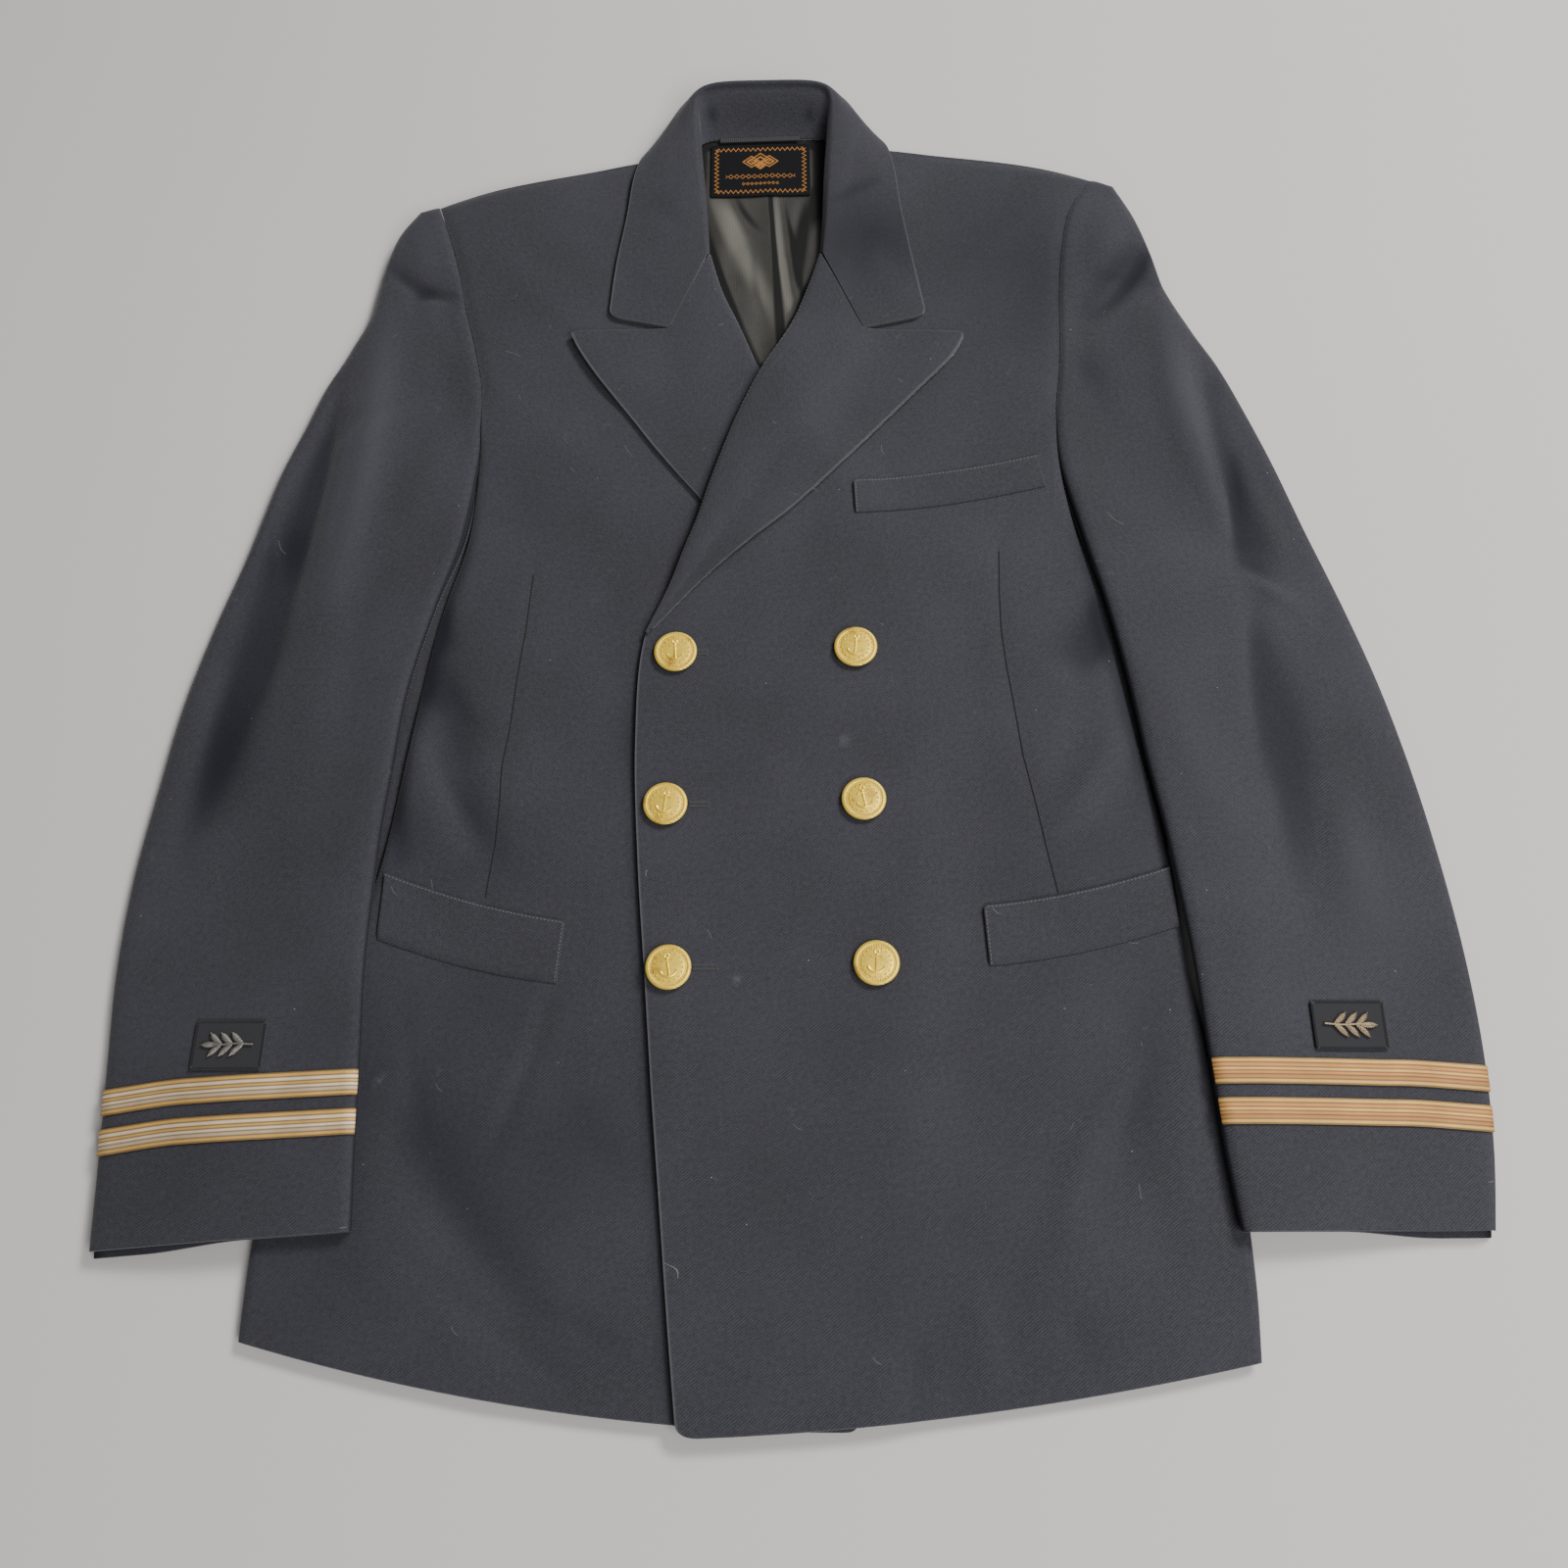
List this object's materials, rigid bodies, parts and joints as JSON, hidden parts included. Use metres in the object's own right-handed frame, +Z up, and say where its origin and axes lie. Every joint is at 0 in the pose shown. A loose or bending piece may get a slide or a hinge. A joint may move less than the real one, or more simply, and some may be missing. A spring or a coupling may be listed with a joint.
{
  "type": "naval uniform jacket",
  "caption": "Double-breasted naval uniform jacket laid flat on its back: peaked lapels, collar, welt pockets, gilt buttons and gold lace on the cuffs.",
  "frame": {"origin": "middle of the jacket's outline, on the surface that it lies on", "axes": "+Z up from that surface, +Y from the hem to the collar, +X towards the jacket's left side"},
  "size_m": [0.6754, 0.7718, 0.0244],
  "materials": {
    "navy_wool": "matt fine wool twill, near-black navy",
    "grey_satin": "grey-brown satin lining with a soft sheen",
    "black_cloth": "matt black wool and woven tape",
    "gilt_brass": "polished gilt with low relief",
    "gold_lace": "woven gold wire lace, a little tarnished",
    "bullion_wire": "dull silver and bronze bullion embroidery"
  },
  "bodies": {
    "root": {"back_right": "navy_wool", "back_left": "navy_wool", "back_lining": "grey_satin", "front_right": "navy_wool", "front_left": "navy_wool", "lapel_right": "navy_wool", "lapel_left": "navy_wool", "collar": "navy_wool", "top_sleeve_right": "navy_wool", "top_sleeve_left": "navy_wool", "under_sleeve_right": "navy_wool", "under_sleeve_left": "navy_wool", "welt_breast": "navy_wool", "welt_lower_right": "navy_wool", "welt_lower_left": "navy_wool", "button_right_top": "gilt_brass", "button_right_middle": "gilt_brass", "button_right_low": "gilt_brass", "button_left_top": "gilt_brass", "button_left_middle": "gilt_brass", "button_left_low": "gilt_brass", "lace_high_right": "gold_lace", "lace_low_right": "gold_lace", "lace_high_left": "gold_lace", "lace_low_left": "gold_lace", "patch_right": "black_cloth", "patch_left": "black_cloth", "sprig_right": "bullion_wire", "sprig_left": "bullion_wire", "label": "black_cloth", "hanger_loop": "black_cloth"}
  },
  "joints": []
}
